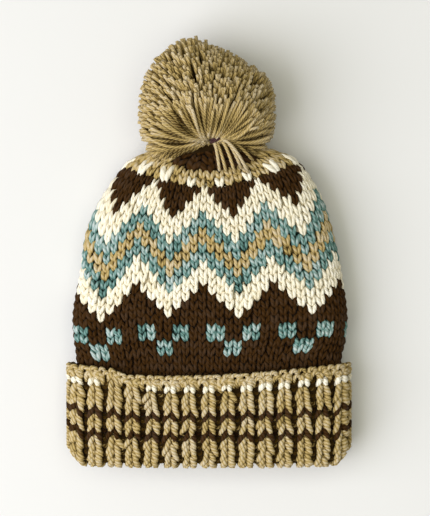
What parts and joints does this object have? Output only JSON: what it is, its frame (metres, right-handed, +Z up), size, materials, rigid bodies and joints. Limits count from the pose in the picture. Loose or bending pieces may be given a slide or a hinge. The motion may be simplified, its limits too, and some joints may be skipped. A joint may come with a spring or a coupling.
{
  "type": "knitted bobble hat",
  "caption": "Chunky hand-knitted bobble hat lying flat, with a zigzag colour pattern, a folded ribbed cuff and a cut-yarn pompom.",
  "frame": {"origin": "middle of the lying hat's box, on the surface that it lies on", "axes": "+Y from the mouth to the pompom, +X to the right as seen from above, +Z up from the surface"},
  "size_m": [0.2166, 0.3224, 0.0856],
  "materials": {
    "crown_yarn": "stranded knitting in brown, cream, teal and camel wool",
    "cuff_yarn": "ribbed knitting in camel wool with brown stripes",
    "pompom_yarn": "cut camel wool yarn"
  },
  "bodies": {
    "root": {"crown": "crown_yarn", "cuff": "cuff_yarn", "pompom": "pompom_yarn"}
  },
  "joints": []
}
